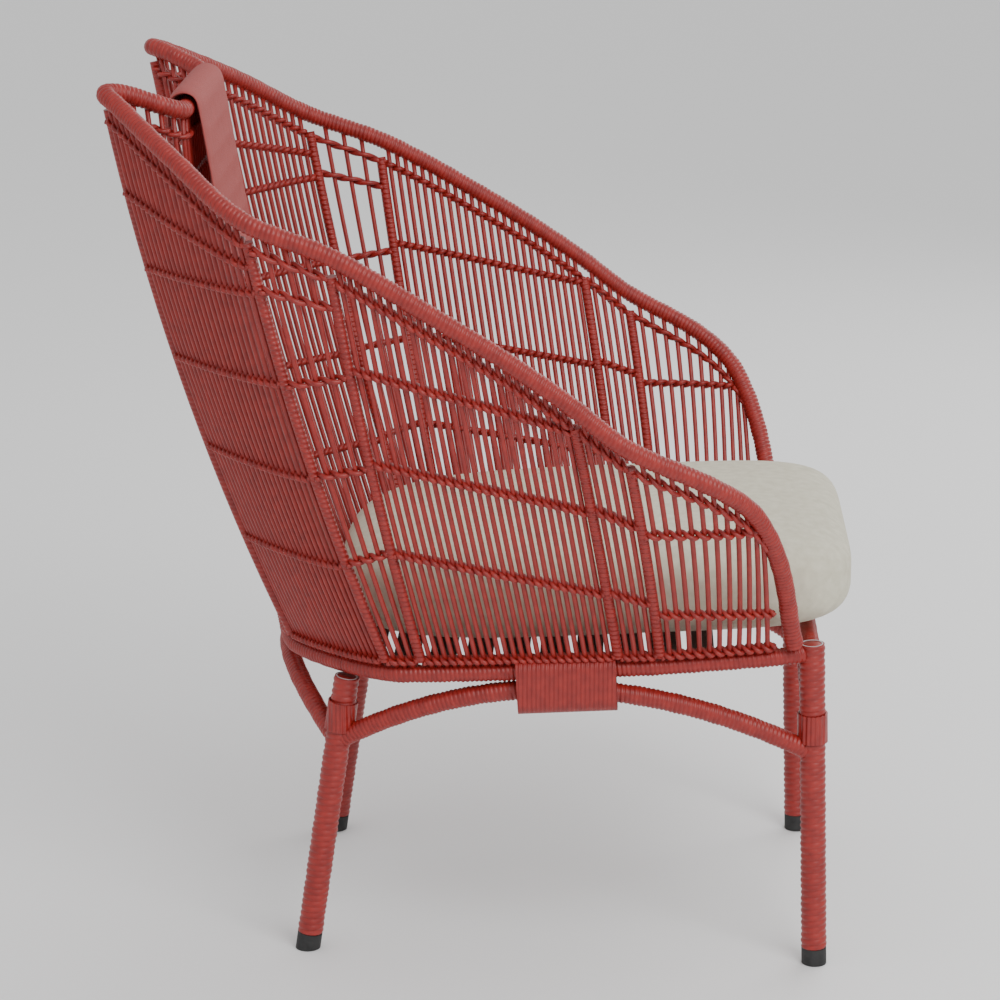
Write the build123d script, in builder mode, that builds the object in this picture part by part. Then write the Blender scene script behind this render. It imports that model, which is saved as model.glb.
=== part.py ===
# A woven lounge armchair: a tube frame wrapped in flat cane, a flared shell of upright cane strands
# held by twined rows, a stitched head pad over the back rail and a loose seat cushion.
# The sitter faces -Y, +Z is up, and the origin is on the floor under the middle of the chair.
import os
from math import cos, radians, sin, sqrt

from build123d import *

# ---- driving dimensions, millimetres ----

clearance = 0.3            # air between pieces that lie against each other

leg_tube_diameter = 25.0
leg_tube_wall = 1.5
rail_tube_diameter = 16.0  # seat rail and top rail
rail_tube_wall = 1.2
arch_tube_diameter = 18.0
wrap_thickness = 2.3       # flat cane wound round every tube
post_diameter = 12.0       # thicker canes that divide the shell into panels
corner_post_diameter = 14.0
strand_diameter = 5.8

front_foot_half_width = 215.0
front_foot_y = -388.0
front_leg_half_width = 219.0   # at seat height
front_leg_y = -376.0
rear_foot_half_width = 192.0
rear_foot_y = 202.0
rear_leg_half_width = 196.0
rear_leg_y = 152.0
leg_top_gap = 4.5              # between a rear leg's top and the rail above it

seat_front_height = 379.0      # middle of the seat rail above the front legs
seat_rear_height = 348.0       # and at the back corners
seat_half_width = 250.0
seat_rear_y = 236.0
seat_corner_half_width = 122.0
seat_corner_y = 213.0

arm_half_width = 400.0         # widest part of the top rail
back_height = 1002.0           # middle of the top rail at its two corners
neck_height = 975.0            # middle of the top rail between them
neck_half_width = 128.0
neck_y = 334.0

arch_foot_height = 258.0       # where the arches meet the legs
arch_gap = 0.8                 # between an arch's top and the seat rail
arch_band_length = 112.0       # cane wound round the arch and the seat rail together
band_slack = 4.2               # room all round inside that winding
arch_band_slack = 9.0          # room in that winding for the arch's curve
band_thickness = 2.2
joint_band_height = 34.0

foot_cap_height = 20.0
foot_cap_wall = 1.8
foot_cap_sole = 5.0

strap_width = 30.0
strap_pitch = 42.0
strap_thickness = 3.0

cushion_half_width = 222.0
cushion_front_y = -428.0
cushion_rear_y = 165.0
cushion_thickness = 116.0
cushion_front_corner = 46.0
cushion_rear_corner = 118.0
cushion_edge_radius = 30.0

pad_half_width = 114.0
pad_thickness = 8.0
pad_drop = 190.0
pad_lean_factor = 0.62         # the flap hangs a little steeper than the shell behind it

# how many strands stand in each panel of one side, and in the back between the corner posts
strands_arm_front = 11
strands_arm_gap = 4
strands_side = 24
strands_wing_gap = 3
strands_wing = 21
strands_back = 26

# ---- sizes that follow from them ----

leg_radius = leg_tube_diameter / 2 + wrap_thickness
rail_radius = rail_tube_diameter / 2 + wrap_thickness
arch_radius = arch_tube_diameter / 2 + wrap_thickness
seat_slope = (seat_rear_height - seat_front_height) / (seat_corner_y - front_leg_y)
band_inner = max(rail_radius, arch_radius) + band_slack
band_room = band_inner + band_thickness + clearance - rail_radius
post_room = corner_post_diameter / 2 + 3 * clearance


def seat_height(y):
    return seat_front_height + (y - front_leg_y) * seat_slope


def on_seat(x, y):
    return Vector(x, y, seat_height(y))


# The top rail of the left half, from the front leg over the arm and round the back corner to the
# middle of the neck.
top_rail_points = [
    Vector(front_leg_half_width + 21, front_leg_y + 21, seat_front_height + 15),
    Vector(250, -350, 418),
    Vector(270, -343, 462),
    Vector(296, -334, 503),
    Vector(325, -318, 547),
    Vector(351, -296, 583),
    Vector(arm_half_width - 22, -254, 615),
    Vector(arm_half_width, -164, 661),
    Vector(arm_half_width - 3, -105, 706),
    Vector(arm_half_width - 7, -30, 757),
    Vector(arm_half_width - 10, 43, 801),
    Vector(arm_half_width - 15, 96, 832),
    Vector(arm_half_width - 24, 152, 861),
    Vector(arm_half_width - 36, 242, 895),
    Vector(300, 320, 947),
    Vector(214, 393, 993),
    Vector(186, 409, back_height),
    Vector(168, 389, back_height - 4),
    Vector(neck_half_width + 22, neck_y + 18, neck_height + 8),
    Vector(neck_half_width, neck_y, neck_height),
    Vector(neck_half_width / 2, neck_y, neck_height),
    Vector(0, neck_y, neck_height),
]

# The seat rail of the same half, seen from above, from the front leg to the middle of the back.
seat_rail_points = [
    on_seat(front_leg_half_width, front_leg_y),
    on_seat(seat_half_width - 17, -336),
    on_seat(seat_half_width - 1, -206),
    on_seat(seat_half_width, -160),
    on_seat(seat_half_width - 1, -60),
    on_seat(seat_half_width - 7, 60),
    on_seat(seat_half_width - 14, 98),
    on_seat(rear_leg_half_width, rear_leg_y),
    on_seat(seat_corner_half_width, seat_corner_y),
    on_seat(seat_corner_half_width / 2, seat_rear_y - 5),
    on_seat(0, seat_rear_y),
]

# Stations: the point numbers on the top rail and on the seat rail that a post joins, and how far
# the shell bows outwards there.
arm_end = (4, 1, 2.0)
arm_post = (7, 2, 8.0)
elbow_post = (8, 3, 8.0)
wing_post = (12, 5, 12.0)
shoulder_post = (13, 6, 18.0)
corner_post = (16, 8, 22.0)

# Each panel of one side: where it starts and ends, and how many strands stand in it.
panels = {
    "arm_front": (arm_end, arm_post, strands_arm_front),
    "arm_gap": (arm_post, elbow_post, strands_arm_gap),
    "side": (elbow_post, wing_post, strands_side),
    "wing_gap": (wing_post, shoulder_post, strands_wing_gap),
    "wing": (shoulder_post, corner_post, strands_wing),
}


# ---- paths ----

def arc_from(start, heading, end):
    # an arc that leaves start along heading and ends at end, or a line where it would be straight
    if heading.get_angle(end - start) < 0.02:
        Line(start, end)
    else:
        TangentArc(start, end, tangent=heading)


def double_arc(start, heading, end, final_heading):
    # two arcs that meet smoothly and keep the headings at both ends
    chord = end - start
    both = heading + final_heading
    spread = 2 * (1 - heading.dot(final_heading))
    along = chord.dot(both)
    if spread < 1e-9:
        handle = chord.dot(chord) / (2 * along)
    else:
        handle = (sqrt(along ** 2 + spread * chord.dot(chord)) - along) / spread
    first = start + heading * handle
    last = end - final_heading * handle
    middle = (first + last) / 2
    arc_from(start, heading, middle)
    arc_from(middle, (last - first).normalized(), end)


def heading_at(points, index):
    before = points[max(index - 1, 0)]
    after = points[min(index + 1, len(points) - 1)]
    return (after - before).normalized()


def smooth_path(points, first=0, last=None):
    # a smooth run of arcs through points[first] to points[last]
    last = len(points) - 1 if last is None else last
    with BuildLine() as path:
        for index in range(first, last):
            double_arc(points[index], heading_at(points, index), points[index + 1], heading_at(points, index + 1))
    return path.wire()


def mirrored(point):
    return Vector(-point.X, point.Y, point.Z)


def both_halves(points):
    return points + [mirrored(point) for point in reversed(points[:-1])]


top_rail = both_halves(top_rail_points)
seat_rail = both_halves(seat_rail_points)


# ---- solids ----

def across(path):
    return Plane(origin=path @ 0, z_dir=path % 0)


def rod(path, radius):
    with BuildPart() as piece:
        with BuildSketch(across(path)):
            Circle(radius)
        sweep(path=path)
    return piece.part


def sleeve(path, radius, bore):
    with BuildPart() as piece:
        with BuildSketch(across(path)):
            Circle(radius)
            Circle(bore, mode=Mode.SUBTRACT)
        sweep(path=path)
    return piece.part


def save(name, solids):
    # one STEP file per sub-part; a group of like pieces is one compound
    shape = solids[0] if len(solids) == 1 else Compound(children=solids)
    shape.label = name
    export_step(shape, "parts/" + name + ".step")


def mirror_all(solids):
    return [mirror(solid, about=Plane.YZ) for solid in solids]


def save_pair(name, solids):
    save(name + "_left", solids)
    save(name + "_right", mirror_all(solids))


def save_wrapped(name, path, tube_diameter, wall, paired=True):
    # a metal tube and the cane wound round it
    tube_radius = tube_diameter / 2
    tube = sleeve(path, tube_radius, tube_radius - wall)
    wrap = sleeve(path, tube_radius + wrap_thickness, tube_radius + clearance / 2)
    if paired:
        save_pair(name + "_tube", [tube])
        save_pair(name + "_wrap", [wrap])
    else:
        save(name + "_tube", [tube])
        save(name + "_wrap", [wrap])


def straight(start, end):
    with BuildLine() as path:
        Line(start, end)
    return path.wire()


def bowed(start, middle, end):
    with BuildLine() as path:
        ThreePointArc(start, middle, end)
    return path.wire()


# ---- legs ----

def leg_pieces(name, foot, top):
    # the leg stands in a rubber cap whose sole is cut level with the floor
    direction = (top - foot).normalized()
    tube_start = foot + direction * (foot_cap_sole + clearance)
    wrap_start = foot + direction * (foot_cap_height + clearance)
    tube_radius = leg_tube_diameter / 2
    tube = sleeve(straight(tube_start, top), tube_radius, tube_radius - leg_tube_wall)
    wrap = sleeve(straight(wrap_start, top), leg_radius, tube_radius + clearance / 2)
    cap_path = straight(foot - direction * foot_cap_sole, foot + direction * foot_cap_height)
    bore_path = straight(foot + direction * foot_cap_sole, foot + direction * (foot_cap_height + 1))
    with BuildPart() as cap:
        with BuildSketch(across(cap_path)):
            Circle(tube_radius + clearance / 2 + foot_cap_wall)
        sweep(path=cap_path)
        with BuildSketch(across(bore_path)):
            Circle(tube_radius + clearance / 2)
        sweep(path=bore_path, mode=Mode.SUBTRACT)
        split(bisect_by=Plane.XY, keep=Keep.TOP)
    save_pair(name + "_leg_tube", [tube])
    save_pair(name + "_leg_wrap", [wrap])
    save_pair(name + "_foot_cap", [cap.part])


front_foot = Vector(front_foot_half_width, front_foot_y, 0)
front_leg_top = Vector(front_leg_half_width, front_leg_y, seat_front_height + rail_radius)
rear_foot = Vector(rear_foot_half_width, rear_foot_y, 0)
rear_leg_top = Vector(rear_leg_half_width, rear_leg_y, seat_height(rear_leg_y) - rail_radius - leg_top_gap)


def on_leg(foot, top, height):
    return foot + (top - foot) * (height / top.Z)


# ---- rails and arches ----

def trimmed(path, start_gap, end_gap):
    return path.trim(start_gap / path.length, 1 - end_gap / path.length)


side_rail_path = trimmed(smooth_path(seat_rail, 0, 7), leg_radius + clearance, 0)
rear_rail_path = smooth_path(seat_rail, 7, len(seat_rail) - 8)
front_rail_path = straight(
    on_seat(front_leg_half_width - leg_radius - clearance, front_leg_y),
    on_seat(-front_leg_half_width + leg_radius + clearance, front_leg_y),
)
arm_rail_path = smooth_path(top_rail, 0, 13)
back_rail_path = smooth_path(top_rail, 13, len(top_rail) - 14)

arch_drop = rail_radius + arch_radius + arch_gap


def below_rail(x, y):
    return on_seat(x, y) - Vector(0, 0, arch_drop)


def arch_end(leg_point, towards):
    # an arch stops against the leg that it is bound to
    flat = Vector(towards.X - leg_point.X, towards.Y - leg_point.Y, 0).normalized()
    return leg_point + flat * (leg_radius + arch_radius * 0.9 + clearance)


arch_front_leg = on_leg(front_foot, front_leg_top, arch_foot_height)
arch_rear_leg = on_leg(rear_foot, rear_leg_top, arch_foot_height)
side_arch_top = below_rail(seat_half_width, -100)
rear_arch_top = below_rail(0, seat_rear_y)
front_arch_top = below_rail(0, front_leg_y)

side_arch_path = bowed(
    arch_end(arch_front_leg, side_arch_top), side_arch_top, arch_end(arch_rear_leg, side_arch_top)
)
rear_arch_start = arch_end(arch_rear_leg, rear_arch_top)
rear_arch_path = bowed(rear_arch_start, rear_arch_top, mirrored(rear_arch_start))
front_arch_start = arch_end(arch_front_leg, front_arch_top)
front_arch_path = bowed(front_arch_start, front_arch_top, mirrored(front_arch_start))


def band_round_pair(centre, along, length):
    # flat cane wound round the seat rail and the arch under it
    plane = Plane(origin=centre - along * (length / 2), x_dir=Vector(0, 0, 1), z_dir=along)
    with BuildPart() as band:
        with BuildSketch(plane):
            with Locations((-arch_band_slack / 2, 0)):
                SlotCenterToCenter(arch_drop + arch_band_slack, 2 * (band_inner + band_thickness))
                SlotCenterToCenter(arch_drop + arch_band_slack, 2 * band_inner, mode=Mode.SUBTRACT)
        extrude(amount=length)
    return band.part


def band_round_leg(foot, top, height):
    # cane wound round a leg just above the arches that meet it
    start = on_leg(foot, top, height + arch_radius + 3)
    end = on_leg(foot, top, height + arch_radius + 3 + joint_band_height)
    return sleeve(straight(start, end), leg_radius + clearance + band_thickness, leg_radius + clearance)


def band_round_rail(points, index):
    # a short winding on the top rail where a post joins it
    heading = heading_at(points, index)
    start = points[index] - heading * 9
    end = points[index] + heading * 9
    return sleeve(straight(start, end), rail_radius + clearance + band_thickness, rail_radius + clearance)


# ---- the woven shell ----

class Upright:
    # a strand or post from the seat rail up to the top rail, bowed outwards at its middle
    def __init__(self, foot, head, bow, foot_heading, head_heading):
        self.foot = foot
        self.head = head
        middle = (foot + head) / 2
        self.outward = Vector(middle.X, middle.Y + 50, 0).normalized()
        self.bow = bow
        self.foot_heading = foot_heading
        self.head_heading = head_heading

    def at(self, share):
        # the parabola through both ends and the bowed middle
        return self.foot + (self.head - self.foot) * share + self.outward * (4 * self.bow * share * (1 - share))

    def share_at_height(self, height):
        return (height - self.foot.Z) / (self.head.Z - self.foot.Z)

    def length(self):
        return (self.head - self.foot).length

    def share_off_rail(self, rail_heading, distance):
        # the share of the upright that lies within a distance of the rail it meets at an angle
        angle = radians((self.head - self.foot).get_angle(rail_heading))
        return distance / sin(angle) / self.length()

    def share_off_foot(self, distance):
        return self.share_off_rail(self.foot_heading, distance)

    def share_off_head(self, distance):
        return self.share_off_rail(self.head_heading, distance)

    def solid(self, radius):
        # stops short of both rails and of the windings on them
        foot_slant = abs(cos(radians((self.head - self.foot).get_angle(self.foot_heading))))
        head_slant = abs(cos(radians((self.head - self.foot).get_angle(self.head_heading))))
        start = self.share_off_foot(rail_radius + band_room + radius * foot_slant)
        end = 1 - self.share_off_head(rail_radius + band_room + radius * head_slant)
        return rod(bowed(self.at(start), self.at((start + end) / 2), self.at(end)), radius)


def upright_at(station):
    head_index, foot_index, bow = station
    return Upright(
        seat_rail[foot_index],
        top_rail[head_index],
        bow,
        heading_at(seat_rail, foot_index),
        heading_at(top_rail, head_index),
    )


def panel_uprights(start, end, count):
    # evenly spaced strands between two stations; at the foot they first clear the posts
    head_path = smooth_path(top_rail, start[0], end[0])
    foot_path = smooth_path(seat_rail, start[1], end[1])
    margin = (post_room + strand_diameter / 2) / foot_path.length
    uprights = []
    for number in range(1, count + 1):
        share = number / (count + 1)
        foot_share = margin + (1 - 2 * margin) * (number - 1) / (count - 1)
        bow = start[2] + (end[2] - start[2]) * share
        uprights.append(
            Upright(foot_path @ foot_share, head_path @ share, bow, foot_path % foot_share, head_path % share)
        )
    return uprights


# ---- seat straps and cushion ----

seat_plane = Plane(
    origin=on_seat(0, 0), x_dir=Vector(1, 0, 0), z_dir=Vector(0, -seat_slope, 1).normalized()
)
rest_plane = seat_plane.offset(rail_radius + clearance)


def straps():
    # flat webbing straps across the seat, cut to the inside of the rail
    inset = rail_radius + band_room
    with BuildPart() as webbing:
        with BuildSketch(seat_plane):
            with BuildLine():
                outline = [seat_plane.to_local_coords(point) for point in seat_rail_points[1:-3]]
                outline = [Vector(point.X - inset, point.Y, 0) for point in outline]
                outline.append(Vector(seat_corner_half_width - 2 * inset, seat_corner_y - 2 * inset, 0))
                Polyline(*outline)
                Polyline(*[mirrored(point) for point in outline])
                Line(outline[0], mirrored(outline[0]))
                Line(outline[-1], mirrored(outline[-1]))
            make_face()
            with GridLocations(0, strap_pitch, 1, 13):
                Rectangle(2 * seat_half_width, strap_width, mode=Mode.INTERSECT)
        extrude(amount=strap_thickness)
    return webbing.part


def cushion_body():
    # a rounded block with large corners at the back, lying on the seat rail
    with BuildPart() as block:
        with BuildSketch(rest_plane) as outline:
            with Locations((0, (cushion_rear_y + cushion_front_y) / 2)):
                Rectangle(2 * cushion_half_width, cushion_rear_y - cushion_front_y)
            fillet(outline.vertices().group_by(Axis.Y)[0], cushion_front_corner)
            fillet(outline.vertices().group_by(Axis.Y)[-1], cushion_rear_corner)
        extrude(amount=cushion_thickness)
        ends = block.faces().group_by(Axis(seat_plane.origin, seat_plane.z_dir))
        fillet(ends[0].edges() + ends[-1].edges(), cushion_edge_radius)
    return block


# ---- head pad ----

def head_pad():
    # a padded flap over the neck of the back, hanging down inside the shell
    near = rail_radius + clearance + band_thickness
    middle = near + pad_thickness / 2
    hang_lean = (neck_y - seat_rear_y) / (neck_height - seat_rear_height)
    front_y = neck_y - middle
    lower_z = neck_height - pad_drop
    with BuildPart() as pad:
        with BuildLine(Plane.YZ) as path:
            back = Line((neck_y + middle, neck_height - 2 * rail_radius), (neck_y + middle, neck_height))
            over = TangentArc(back @ 1, (front_y, neck_height), tangent=back % 1)
            Line(over @ 1, (front_y - pad_drop * hang_lean * pad_lean_factor, lower_z))
        with BuildSketch(Plane(origin=path.wire() @ 0, x_dir=Vector(1, 0, 0), z_dir=path.wire() % 0)):
            RectangleRounded(2 * pad_half_width, pad_thickness, pad_thickness * 0.45)
        sweep(path=path.wire(), transition=Transition.ROUND)
    return pad.part


os.makedirs("parts", exist_ok=True)

# ---- build and write ----

# legs
leg_pieces("front", front_foot, front_leg_top)
leg_pieces("rear", rear_foot, rear_leg_top)

# seat rail
save_wrapped("side_rail", side_rail_path, rail_tube_diameter, rail_tube_wall)
save_wrapped("rear_rail", rear_rail_path, rail_tube_diameter, rail_tube_wall, paired=False)
save_wrapped("front_rail", front_rail_path, rail_tube_diameter, rail_tube_wall, paired=False)

# top rail: two arms and the back
save_wrapped("arm_rail", arm_rail_path, rail_tube_diameter, rail_tube_wall)
save_wrapped("back_rail", back_rail_path, rail_tube_diameter, rail_tube_wall, paired=False)

# arches under the seat
save_pair("side_arch", [rod(side_arch_path, arch_radius)])
save("rear_arch", [rod(rear_arch_path, arch_radius)])
save("front_arch", [rod(front_arch_path, arch_radius)])

# windings at the joints
bands = [
    band_round_pair((side_arch_top + on_seat(seat_half_width, -100)) / 2, Vector(0, 1, seat_slope).normalized(),
                    arch_band_length),
    band_round_leg(front_foot, front_leg_top, arch_foot_height),
    band_round_leg(rear_foot, rear_leg_top, arch_foot_height),
]
save_pair("joint_bands", bands)

# posts of the shell
posts = [upright_at(station).solid(post_diameter / 2)
         for station in (arm_post, elbow_post, wing_post, shoulder_post)]
save_pair("shell_posts", posts)
save_pair("corner_post", [upright_at(corner_post).solid(corner_post_diameter / 2)])

# strands
for name, (start, end, count) in panels.items():
    uprights = panel_uprights(start, end, count)
    save_pair("strands_" + name, [upright.solid(strand_diameter / 2) for upright in uprights])

far_corner = (len(top_rail) - 1 - corner_post[0], len(seat_rail) - 1 - corner_post[1], corner_post[2])
back_uprights = panel_uprights(corner_post, far_corner, strands_back)
save("strands_back", [upright.solid(strand_diameter / 2) for upright in back_uprights])

# seat straps, cushion and head pad
save("seat_straps", list(straps().solids()))
save("cushion", [cushion_body().part])
save("head_pad", [head_pad()])
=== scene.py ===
from math import radians

import bpy
import numpy as np
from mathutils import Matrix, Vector


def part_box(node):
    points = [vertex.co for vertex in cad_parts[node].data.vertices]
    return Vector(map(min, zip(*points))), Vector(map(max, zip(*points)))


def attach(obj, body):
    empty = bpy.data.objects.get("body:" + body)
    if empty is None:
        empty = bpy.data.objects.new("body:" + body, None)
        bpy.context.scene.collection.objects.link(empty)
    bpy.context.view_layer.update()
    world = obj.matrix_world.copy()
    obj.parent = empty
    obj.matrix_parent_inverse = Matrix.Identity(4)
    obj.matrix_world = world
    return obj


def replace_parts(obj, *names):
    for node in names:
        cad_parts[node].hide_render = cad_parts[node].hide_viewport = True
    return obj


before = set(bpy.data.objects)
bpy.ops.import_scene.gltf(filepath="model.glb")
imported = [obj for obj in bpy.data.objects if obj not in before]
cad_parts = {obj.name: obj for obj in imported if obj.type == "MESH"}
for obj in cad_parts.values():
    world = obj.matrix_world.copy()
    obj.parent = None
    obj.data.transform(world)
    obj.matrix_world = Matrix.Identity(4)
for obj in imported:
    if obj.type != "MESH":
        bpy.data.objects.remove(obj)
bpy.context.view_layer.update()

# ---- where the frame runs, metres; the left half, front to back ----

seat = {"frontZ": 0.379, "rearZ": 0.348, "frontY": -0.376, "rearY": 0.213}


seatLean = (seat["rearZ"] - seat["frontZ"]) / (seat["rearY"] - seat["frontY"])


def seatHeight(y):  # the seat rail lies in one leaning plane
    return seat["frontZ"] + (y - seat["frontY"]) * seatLean


topRailHalf = np.array([
    (0.240, -0.355, 0.394), (0.250, -0.350, 0.418), (0.270, -0.343, 0.462), (0.296, -0.334, 0.503),
    (0.325, -0.318, 0.547), (0.351, -0.296, 0.583), (0.378, -0.254, 0.615), (0.400, -0.164, 0.661),
    (0.397, -0.105, 0.706), (0.393, -0.030, 0.757), (0.390, 0.043, 0.801), (0.385, 0.096, 0.832),
    (0.376, 0.152, 0.861), (0.364, 0.242, 0.895), (0.300, 0.320, 0.947), (0.214, 0.393, 0.993),
    (0.186, 0.409, 1.002), (0.168, 0.389, 0.998), (0.150, 0.352, 0.983), (0.128, 0.334, 0.975),
    (0.064, 0.334, 0.975), (0.0, 0.334, 0.975)])
seatPlan = [(0.219, -0.376), (0.233, -0.336), (0.249, -0.206), (0.250, -0.160), (0.249, -0.060),
            (0.243, 0.060), (0.236, 0.098), (0.196, 0.152), (0.122, 0.213), (0.061, 0.231), (0.0, 0.236)]
seatRailHalf = np.array([(x, y, seatHeight(y)) for x, y in seatPlan])


def bothHalves(points):  # the half, then its mirror image back again
    return np.vstack([points, points[-2::-1] * (-1, 1, 1)])


topRail = bothHalves(topRailHalf)
seatRail = bothHalves(seatRailHalf)


def smooth(points, first=0, last=None, step=0.002):
    # cubic runs through the points, each point's heading parallel to the line between its neighbours,
    # resampled at even steps of length
    points = np.asarray(points, float)
    last = len(points) - 1 if last is None else last
    before = points[np.maximum(np.arange(len(points)) - 1, 0)]
    after = points[np.minimum(np.arange(len(points)) + 1, len(points) - 1)]
    heading = (after - before) / np.linalg.norm(after - before, axis=1)[:, None]
    t = np.linspace(0, 1, 60, endpoint=False)[:, None]
    runs = []
    for i in range(first, last):
        a, b = points[i], points[i + 1]
        size = np.linalg.norm(b - a)
        ha, hb = heading[i] * size, heading[i + 1] * size
        runs.append((2*t**3 - 3*t**2 + 1)*a + (t**3 - 2*t**2 + t)*ha + (3*t**2 - 2*t**3)*b + (t**3 - t**2)*hb)
    dense = np.vstack(runs + [points[last][None]])
    return resample(dense, step)


def resample(dense, step):
    length = np.concatenate([[0], np.cumsum(np.linalg.norm(np.diff(dense, axis=0), axis=1))])
    at = np.linspace(0, length[-1], max(int(length[-1] / step), 2) + 1)
    return np.stack([np.interp(at, length, dense[:, k]) for k in range(3)], 1)


def pick(path, shares):  # places at shares of a path's length
    return np.stack([np.interp(shares, np.linspace(0, 1, len(path)), path[:, k]) for k in range(3)], 1)


# ---- meshes ----

def frames(path):
    # along, side and up at each place; side is kept level so that a profile doesn't turn
    along = np.gradient(path, axis=0)
    along /= np.linalg.norm(along, axis=1)[:, None]
    guide = np.array([0.31, 0.12, 0.94]) if abs(along[:, 2]).max() < 0.97 else np.array([0.9, 0.3, 0.1])
    side = np.cross(along, guide)
    side /= np.linalg.norm(side, axis=1)[:, None]
    return along, side, np.cross(side, along)


def gridFaces(rows, around):
    i, j = np.meshgrid(np.arange(rows - 1), np.arange(around), indexing="ij")
    k = (j + 1) % around
    low, high = i * around, (i + 1) * around
    return np.stack([low + j, low + k, high + k, high + j], -1).reshape(-1, 4)


def tubeParts(path, radius, around=12, pitch=0, ridge=0.0, wobble=0.0):
    # circle carried along the path; a winding swells the radius by |cos| of the turn,
    # which climbs with length
    along, side, up = frames(path)
    length = np.concatenate([[0], np.cumsum(np.linalg.norm(np.diff(path, axis=0), axis=1))])
    angle = np.linspace(0, 2*np.pi, around, endpoint=False)
    size = np.full((len(path), around), radius)
    if pitch:
        turn = np.pi * length[:, None] / pitch + angle[None] / 2
        size = size - ridge + ridge * np.abs(np.cos(turn)) ** 0.7
        size += wobble * np.sin(length[:, None] * 210) * np.sin(length[:, None] * 57 + 1)
    spoke = np.cos(angle)[:, None] * side[:, None] + np.sin(angle)[:, None] * up[:, None]
    verts = path[:, None] + size[..., None] * spoke
    uv = np.stack(np.broadcast_arrays(length[:, None], angle[None] / (2*np.pi)), -1)
    verts = np.vstack([verts.reshape(-1, 3), path[:1], path[-1:]])
    uv = np.vstack([uv.reshape(-1, 2), [[0, 0], [0, 0]]])
    faces = gridFaces(len(path), around)
    n = len(path) * around
    j = np.arange(around)
    k = (j + 1) % around
    low = np.stack([np.full(around, n), k, j, j], 1)
    high = np.stack([np.full(around, n + 1), n - around + j, n - around + k, n - around + k], 1)
    return verts, faces, np.vstack([low[:, :3], high[:, :3]]), uv


def makeTubes(name, paths, radius, material, slot, **words):
    # several tubes joined as one piece
    verts, quads, tris, uvs, count = [], [], [], [], 0
    for path in paths:
        v, q, t, u = tubeParts(path, radius, **words)
        verts.append(v)
        quads.append(q + count)
        tris.append(t + count)
        uvs.append(u)
        count += len(v)
    mesh = bpy.data.meshes.new(name)
    mesh.from_pydata(np.vstack(verts).tolist(), [], np.vstack(quads).tolist() + np.vstack(tris).tolist())
    layer = mesh.uv_layers.new(name="along")
    loops = np.concatenate([np.vstack(quads).ravel(), np.vstack(tris).ravel()])
    layer.data.foreach_set("uv", np.vstack(uvs)[loops].ravel())
    mesh.polygons.foreach_set("use_smooth", [True] * len(mesh.polygons))
    mesh.materials.append(material)
    piece = bpy.data.objects.new(name, mesh)
    bpy.context.scene.collection.objects.link(piece)
    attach(piece, "frame")
    return piece


# ---- materials ----

def newMaterial(name, colour, roughness):
    material = bpy.data.materials.new(name)
    material.use_nodes = True
    shader = material.node_tree.nodes["Principled BSDF"]
    shader.inputs["Base Color"].default_value = (*colour, 1)
    shader.inputs["Roughness"].default_value = roughness
    return material, material.node_tree.nodes, material.node_tree.links, shader


def mottled(name, dark, light, roughness, scale, bump, distance, stretch=(1, 1, 1)):
    # noise on the object's own coordinates blends two colours and raises a fine relief
    material, nodes, links, shader = newMaterial(name, light, roughness)
    place = nodes.new("ShaderNodeTexCoord")
    mapping = nodes.new("ShaderNodeMapping")
    mapping.inputs["Scale"].default_value = stretch
    links.new(place.outputs["Object"], mapping.inputs["Vector"])
    broad = nodes.new("ShaderNodeTexNoise")
    broad.inputs["Scale"].default_value = scale
    broad.inputs["Detail"].default_value = 6
    links.new(mapping.outputs["Vector"], broad.inputs["Vector"])
    ramp = nodes.new("ShaderNodeValToRGB")
    ramp.color_ramp.elements[0].position = 0.3
    ramp.color_ramp.elements[1].position = 0.7
    ramp.color_ramp.elements[0].color = (*dark, 1)
    ramp.color_ramp.elements[1].color = (*light, 1)
    links.new(broad.outputs["Fac"], ramp.inputs["Fac"])
    links.new(ramp.outputs["Color"], shader.inputs["Base Color"])
    fine = nodes.new("ShaderNodeTexNoise")
    fine.inputs["Scale"].default_value = scale * 12
    links.new(mapping.outputs["Vector"], fine.inputs["Vector"])
    relief = nodes.new("ShaderNodeBump")
    relief.inputs["Strength"].default_value = bump
    relief.inputs["Distance"].default_value = distance
    links.new(fine.outputs["Fac"], relief.inputs["Height"])
    links.new(relief.outputs["Normal"], shader.inputs["Normal"])
    return material


def wound(name, axis, pitch):
    # the mottled cane with turns that follow a sine along one axis of the object
    material = mottled(name, (0.215, 0.010, 0.008), (0.315, 0.018, 0.013), 0.40, 90, 0.35, 0.0006)
    nodes, links = material.node_tree.nodes, material.node_tree.links
    turns = nodes.new("ShaderNodeTexWave")
    turns.bands_direction = axis
    turns.inputs["Scale"].default_value = 0.314 / pitch
    links.new(nodes["Texture Coordinate"].outputs["Object"], turns.inputs["Vector"])
    relief = nodes.new("ShaderNodeBump")
    relief.inputs["Strength"].default_value = 0.9
    relief.inputs["Distance"].default_value = 0.0012
    links.new(turns.outputs["Fac"], relief.inputs["Height"])
    links.new(nodes["Bump"].outputs["Normal"], relief.inputs["Normal"])
    links.new(relief.outputs["Normal"], nodes["Principled BSDF"].inputs["Normal"])
    return material


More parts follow.
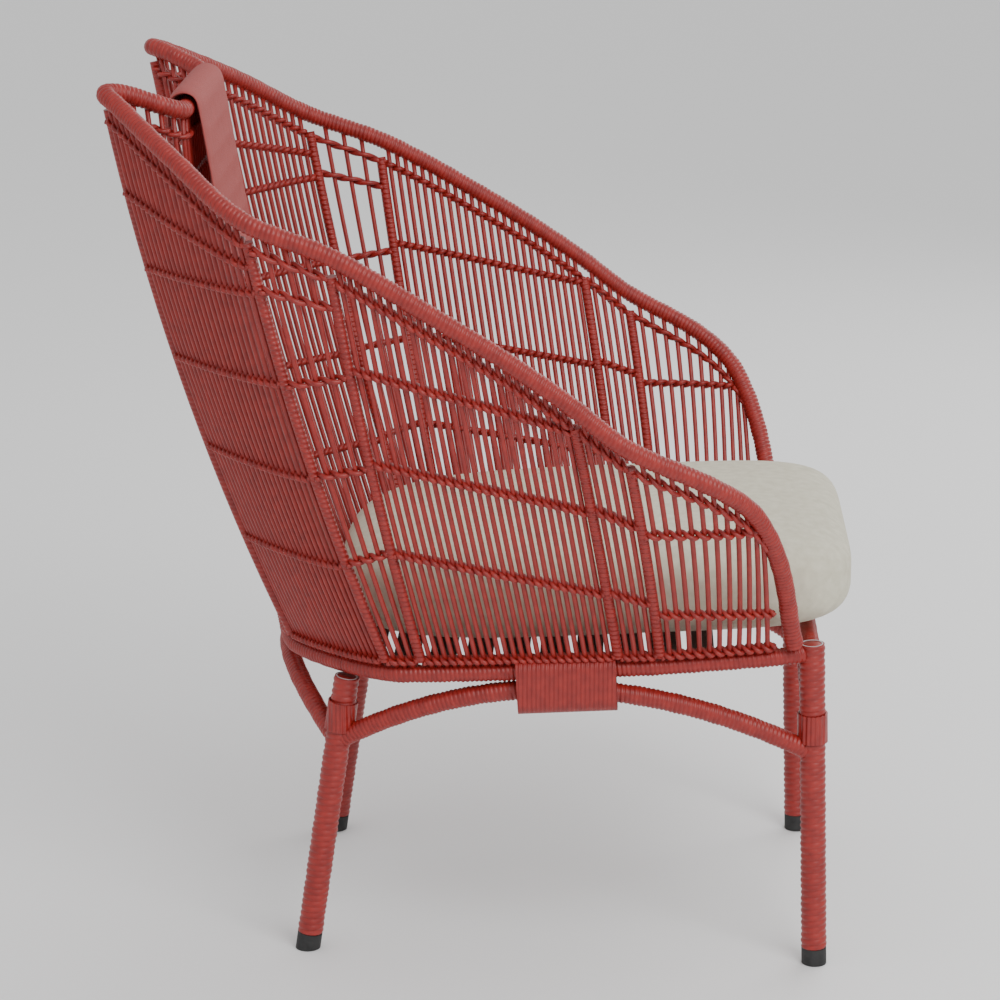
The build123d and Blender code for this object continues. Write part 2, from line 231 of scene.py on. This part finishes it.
bandCane = wound("bandCane", "Y", 0.0050)
postCane = wound("postCane", "Z", 0.0060)
redCane = mottled("redCane", (0.215, 0.010, 0.008), (0.315, 0.018, 0.013), 0.40, 90, 0.35, 0.0006)
darkCane = mottled("darkCane", (0.19, 0.009, 0.008), (0.34, 0.022, 0.016), 0.42, 110, 0.35, 0.0006)
blackRubber = mottled("blackRubber", (0.010, 0.010, 0.010), (0.025, 0.025, 0.025), 0.7, 120, 0.3, 0.0004)
bareTube = mottled("bareTube", (0.45, 0.45, 0.46), (0.62, 0.62, 0.64), 0.35, 60, 0.1, 0.0002)
darkWebbing = mottled("darkWebbing", (0.05, 0.02, 0.02), (0.10, 0.05, 0.04), 0.85, 400, 0.5, 0.0006)
beigeCloth = mottled("beigeCloth", (0.52, 0.49, 0.38), (0.62, 0.59, 0.47), 0.92, 90, 0.35, 0.0008)
padCloth = mottled("padCloth", (0.27, 0.040, 0.036), (0.33, 0.055, 0.048), 0.75, 60, 0.3, 0.0007, (6, 1, 1))
print("materials ready")

# ---- wound tubes ----

winding = {"railRadius": 0.0105, "archRadius": 0.0114, "legRadius": 0.0149, "fine": 0.0052, "coarse": 0.0075,
           "step": 0.0009, "hiddenSteps": 12}
cane = {"pitch": winding["fine"], "ridge": 0.0016, "wobble": 0.0003, "around": 16}

for side, name in ((1, "left"), (-1, "right")):
    arm = smooth(topRail, 0, 13, winding["step"]) * (side, 1, 1)
    armRail = makeTubes("armRail_" + name, [arm], winding["railRadius"], redCane, "woven_cane", **cane)
    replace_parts(armRail, "arm_rail_wrap_" + name)
    rail = smooth(seatRail, 0, 7, winding["step"]) * (side, 1, 1)
    rail = rail[winding["hiddenSteps"]:]  # the first steps lie inside the leg
    sideRail = makeTubes("sideRail_" + name, [rail], winding["railRadius"], redCane, "woven_cane", **cane)
    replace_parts(sideRail, "side_rail_wrap_" + name)
back = smooth(topRail, 13, 29, winding["step"])
backRail = makeTubes("backRail", [back], winding["railRadius"], redCane, "woven_cane", **cane)
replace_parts(backRail, "back_rail_wrap")
rear = smooth(seatRail, 7, 13, winding["step"])
rearRail = makeTubes("rearRail", [rear], winding["railRadius"], redCane, "woven_cane", **cane)
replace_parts(rearRail, "rear_rail_wrap")


def straight(a, b, step=0.001):
    return resample(np.array([a, b], float), step)


def arch(a, top, b):  # a parabola through both ends and the top
    t = np.linspace(0, 1, 200)[:, None]
    a, top, b = (np.asarray(p, float) for p in (a, top, b))
    return resample(a*(1-t)*(1-2*t) + 4*top*t*(1-t) + b*t*(2*t-1), 0.001)


legs = {"front": ((0.215, -0.388), (0.219, -0.376, 0.389)), "rear": ((0.192, 0.202), (0.196, 0.152, 0.336))}
archAt = 0.258  # height where the arches meet the legs
archDrop = 0.0224  # from the seat rail down to the top of an arch


def onLeg(which, z):
    foot, top = legs[which]
    foot = np.array([*foot, 0.0])
    return foot + (np.array(top) - foot) * z / top[2]


for side, name in ((1, "left"), (-1, "right")):
    for which in legs:
        path = straight(onLeg(which, 0.0205), legs[which][1]) * (side, 1, 1)
        leg = makeTubes(which + "Leg_" + name, [path], winding["legRadius"], redCane, "woven_cane",
                        pitch=winding["coarse"], ridge=0.0017, wobble=0.0003, around=18)
        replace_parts(leg, which + "_leg_wrap_" + name)
    sideTop = (0.25, -0.1, seatHeight(-0.1) - archDrop)
    bow = arch(onLeg("front", archAt), sideTop, onLeg("rear", archAt)) * (side, 1, 1)
    sideArch = makeTubes("sideArch_" + name, [bow], winding["archRadius"], redCane, "woven_cane", **cane)
    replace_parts(sideArch, "side_arch_" + name)


def crossArch(name, which, y, node):  # an arch from one leg to the other, under the rail at y
    start = onLeg(which, archAt)
    bow = arch(start, (0, y, seatHeight(y) - archDrop), start * (-1, 1, 1))
    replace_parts(makeTubes(name, [bow], winding["archRadius"], redCane, "woven_cane", **cane), node)


crossArch("rearArch", "rear", 0.236, "rear_arch")
crossArch("frontArch", "front", -0.376, "front_arch")
front = straight((0.205, -0.376, 0.379), (-0.205, -0.376, 0.379))
frontRail = makeTubes("frontRail", [front], winding["railRadius"], redCane, "woven_cane", **cane)
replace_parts(frontRail, "front_rail_wrap")
print("wound tubes ready")

# ---- the woven shell ----

weave = {"strand": 0.0029, "post": 0.006, "cornerPost": 0.007, "twine": 0.0029, "lift": 0.0054,
         "rise": 0.0022}
# start and end station as (top rail point, seat rail point, bow), strand count, row heights
stations = {"armEnd": (4, 1, 0.002), "armPost": (7, 2, 0.008), "elbow": (8, 3, 0.008), "wing": (12, 5, 0.012),
            "shoulder": (13, 6, 0.018), "corner": (16, 8, 0.022), "farCorner": (26, 12, 0.022)}
panels = {"armFront": ("armEnd", "armPost", 11, [(0.440, 0.444), (0.552, 0.552)]),
          "armGap": ("armPost", "elbow", 4, [(0.462, 0.470), (0.565, 0.577)]),
          "side": ("elbow", "wing", 24, [(0.471, 0.510), (0.577, 0.620), (0.676, 0.730)]),
          "wingGap": ("wing", "shoulder", 3,
                      [(0.508, 0.500), (0.612, 0.606), (0.720, 0.714), (0.806, 0.816)]),
          "wing": ("shoulder", "corner", 21,
                   [(0.492, 0.490), (0.600, 0.600), (0.712, 0.706), (0.815, 0.808), (0.846, 0.892)]),
          "back": ("corner", "farCorner", 26, [(z, z) for z in (0.490, 0.600, 0.706, 0.808, 0.892)])}


def uprights(start, end, count):
    # feet and heads of the strands between two stations, and how far each bows out
    (headA, footA, bowA), (headB, footB, bowB) = stations[start], stations[end]
    feet, heads = smooth(seatRail, footA, footB), smooth(topRail, headA, headB)
    margin = 0.0108 / (len(feet) * 0.002)
    share = np.arange(1, count + 1) / (count + 1)
    foot = pick(feet, margin + (1 - 2*margin) * np.linspace(0, 1, count))
    head = pick(heads, share)
    middle = (foot + head) / 2 * (1, 1, 0) + (0, 0.05, 0)
    out = middle / np.linalg.norm(middle, axis=1)[:, None]
    return foot, head, out * (bowA + (bowB - bowA) * share)[:, None]


def along(foot, head, bow, t):  # the straight line plus a parabola of height bow
    t = np.asarray(t, float)[..., None]
    return foot + (head - foot) * t + bow * 4 * t * (1 - t)


def strandPaths(foot, head, bow):
    return [along(f, h, b, np.linspace(0.012, 0.99, 18)) for f, h, b in zip(foot, head, bow)]


def rowPaths(foot, head, bow, low, high):
    # two canes that pass each side of every strand in turn; the sideways part follows a cosine of the strand
    # count and the up and down part a sine, so they cross between strands
    share = np.linspace(0, 1, len(foot))
    height = low + (high - low) * share
    t = (height - foot[:, 2]) / (head[:, 2] - foot[:, 2])
    keep = t < 1 - 0.03 / np.linalg.norm(head - foot, axis=1)
    return twinePair(foot[keep], head[keep], bow[keep], t[keep])


def twinePair(foot, head, bow, t):
    if len(foot) < 3:
        return []
    spot = along(foot, head, bow, t)
    rise = head - foot
    out = np.cross(np.gradient(spot, axis=0), rise)
    out /= np.linalg.norm(out, axis=1)[:, None]
    at = np.linspace(-0.85, len(spot) - 0.15, len(spot) * 7)  # the canes run on towards the posts

    def fine(values):
        return np.stack([np.interp(at, np.arange(len(spot)), values[:, k]) for k in range(3)], 1)

    middle = fine(spot)
    middle += np.clip(-at, 0, 1)[:, None] * (spot[0] - spot[1])
    middle += np.clip(at - len(spot) + 1, 0, 1)[:, None] * (spot[-1] - spot[-2])
    outward, upward = fine(out), fine(rise / np.linalg.norm(rise, axis=1)[:, None])
    turn = np.pi * at[:, None]
    swing = outward * weave["lift"] * np.cos(turn) + upward * weave["rise"] * np.sin(turn)
    return [middle + swing, middle - swing]


def railRows(foot, head, bow):  # rows that follow the seat rail and the top rail
    length = np.linalg.norm(head - foot, axis=1)
    tall = length > 0.09
    f, h, b, n = foot[tall], head[tall], bow[tall], length[tall]
    return twinePair(f, h, b, 0.018 / n) + twinePair(f, h, b, 1 - 0.030 / n)


for label, (start, end, count, heights) in panels.items():
    foot, head, bow = uprights(start, end, count)
    strands = strandPaths(foot, head, bow)
    rows = railRows(foot, head, bow)
    for low, high in heights:
        rows += rowPaths(foot, head, bow, low, high)
    for side, name in ((1, "_left"), (-1, "_right")):
        if label == "back" and side < 0:
            continue
        tag = "" if label == "back" else name
        node = {"armFront": "strands_arm_front", "armGap": "strands_arm_gap", "side": "strands_side",
                "wingGap": "strands_wing_gap", "wing": "strands_wing", "back": "strands_back"}[label] + tag
        upright = [p * (side, 1, 1) for p in strands]
        piece = makeTubes(label + "Strands" + tag, upright, weave["strand"], redCane, "woven_cane", around=8)
        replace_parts(piece, node)
        if rows:
            twined = [p * (side, 1, 1) for p in rows]
            makeTubes(label + "Rows" + tag, twined, weave["twine"], darkCane, "woven_cane", around=7)
print("shell ready")

# ---- posts, caps and plain nodes keep their CAD shape ----

for name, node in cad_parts.items():
    paint = redCane
    if "foot_cap" in name:
        paint = blackRubber
    elif "tube" in name:
        paint = bareTube
    elif name == "seat_straps":
        paint = darkWebbing
    elif "joint_bands" in name:
        paint = bandCane
    elif "post" in name:
        paint = postCane
    node.data.materials.clear()
    node.data.materials.append(paint)
    for place in node.material_slots:
        place.material = paint

# ---- cushion ----

cushionShape = {"around": 160, "rows": 48, "crown": 0.010, "seam": 0.0035}


def cushionSurface():
    # corners: a superellipse outline whose power is lower at the back; the height follows a superellipse
    # profile from bottom to top, the middle of the top is raised and the side seam is drawn in
    low, high = (np.array(p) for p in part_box("cushion"))
    middle, half = (low + high) / 2, (high - low) / 2
    a = np.linspace(0, 2*np.pi, cushionShape["around"], endpoint=False)
    u = np.linspace(-np.pi/2 + 0.02, np.pi/2 - 0.02, cushionShape["rows"])[:, None]
    power = np.where(np.sin(a) > 0, 3.4, 7.0)
    plan = 1 / (np.abs(np.cos(a))**power + np.abs(np.sin(a))**power) ** (1 / power)
    thick = half[2] - abs(seatLean) * half[1]
    level = np.sign(np.sin(u)) * np.abs(np.sin(u)) ** (2 / 3.2)
    spread = np.abs(np.cos(u)) ** (2 / 7.0)
    pinch = cushionShape["seam"] * np.exp(-(level * thick / 0.004) ** 2) / half[0]
    x = half[0] * plan * np.cos(a) * (spread - pinch)
    y = half[1] * plan * np.sin(a) * (spread - pinch)
    crown = cushionShape["crown"] * np.clip(1 - (x/half[0])**2, 0, 1) * np.clip(1 - (y/half[1])**2, 0, 1)
    z = level * (thick - 0.002) + np.where(level > 0, crown, 0) + seatLean * y
    verts = np.stack([middle[0] + x, middle[1] + y, middle[2] + z + 0 * x], -1).reshape(-1, 3)
    faces = gridFaces(cushionShape["rows"], cushionShape["around"])
    n = cushionShape["around"]
    ends = [list(range(n))[::-1], list(range(len(verts) - n, len(verts)))]
    return verts, faces, ends


verts, faces, ends = cushionSurface()
mesh = bpy.data.meshes.new("seatCushion")
mesh.from_pydata(verts.tolist(), [], faces.tolist() + ends)
mesh.polygons.foreach_set("use_smooth", [True] * len(mesh.polygons))
mesh.materials.append(beigeCloth)
cushion = bpy.data.objects.new("seatCushion", mesh)
bpy.context.scene.collection.objects.link(cushion)
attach(cushion, "cushion")
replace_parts(cushion, "cushion")
print("cushion ready")

# ---- head pad ----

low, high = (np.array(p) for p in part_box("head_pad"))
padPath = np.array([(0, 0.3512, 0.954), (0, 0.3512, 0.975), (0, 0.3462, 0.9872), (0, 0.334, 0.9922),
                    (0, 0.3218, 0.9872), (0, 0.3168, 0.975), (0, 0.301, 0.880), (0, 0.284, 0.788)])
padLine = smooth(padPath, step=0.004)
acrossPad = np.linspace(0, 2*np.pi, 64, endpoint=False)
heading = np.gradient(padLine, axis=0)
heading /= np.linalg.norm(heading, axis=1)[:, None]
face = np.cross(heading, np.array([1.0, 0, 0]))
wide = (high[0] - low[0]) / 2
puff = 0.0042 * (1 - 0.25 * np.abs(np.cos(np.linspace(0, 9*np.pi, len(padLine)))))
side = np.sign(np.cos(acrossPad)) * np.abs(np.cos(acrossPad)) ** 0.3 * wide
deep = np.sin(acrossPad)[None] * puff[:, None]
padVerts = padLine[:, None] + side[None, :, None] * np.array([1.0, 0, 0]) + deep[..., None] * face[:, None]
padMesh = bpy.data.meshes.new("headPad")
n = len(acrossPad)
padMesh.from_pydata(padVerts.reshape(-1, 3).tolist(), [], gridFaces(len(padLine), n).tolist()
                    + [list(range(n))[::-1], list(range(n * (len(padLine) - 1), n * len(padLine)))])
padMesh.polygons.foreach_set("use_smooth", [True] * len(padMesh.polygons))
padMesh.materials.append(padCloth)
pad = bpy.data.objects.new("headPad", padMesh)
bpy.context.scene.collection.objects.link(pad)
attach(pad, "frame")
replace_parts(pad, "head_pad")
print("head pad ready")

# ---- floor, light and camera ----

bpy.ops.mesh.primitive_plane_add(size=30, location=(0, 0, -0.0005))
floor = bpy.context.object
floor.data.materials.append(newMaterial("paleFloor", (0.86, 0.86, 0.86), 0.6)[0])
world = bpy.data.worlds.new("studio")
world.use_nodes = True
world.node_tree.nodes["Background"].inputs["Color"].default_value = (1, 1, 1, 1)
world.node_tree.nodes["Background"].inputs["Strength"].default_value = 0.9
bpy.context.scene.world = world


def softLight(name, place, size, power):
    lamp = bpy.data.lights.new(name, "AREA")
    lamp.size = size
    lamp.energy = power
    light = bpy.data.objects.new(name, lamp)
    light.location = place
    light.rotation_euler = (Vector((0, 0, 0.5)) - Vector(place)).to_track_quat("-Z", "Y").to_euler()
    bpy.context.scene.collection.objects.link(light)


softLight("keyLight", (-2.5, -1.6, 3.0), 2.0, 90)
softLight("fillLight", (2.4, -1.8, 2.2), 2.5, 40)

view = {"place": (-3.8036, -0.1555, 1.552), "pitch": 15.56, "yaw": 2.10, "lens": 36 * 3.332}
camera = bpy.data.objects.new("camera", bpy.data.cameras.new("camera"))
camera.data.sensor_width = 36
camera.data.lens = view["lens"]
camera.location = view["place"]
camera.rotation_euler = (radians(90 - view["pitch"]), 0, radians(view["yaw"] - 90))
bpy.context.scene.collection.objects.link(camera)
bpy.context.scene.camera = camera
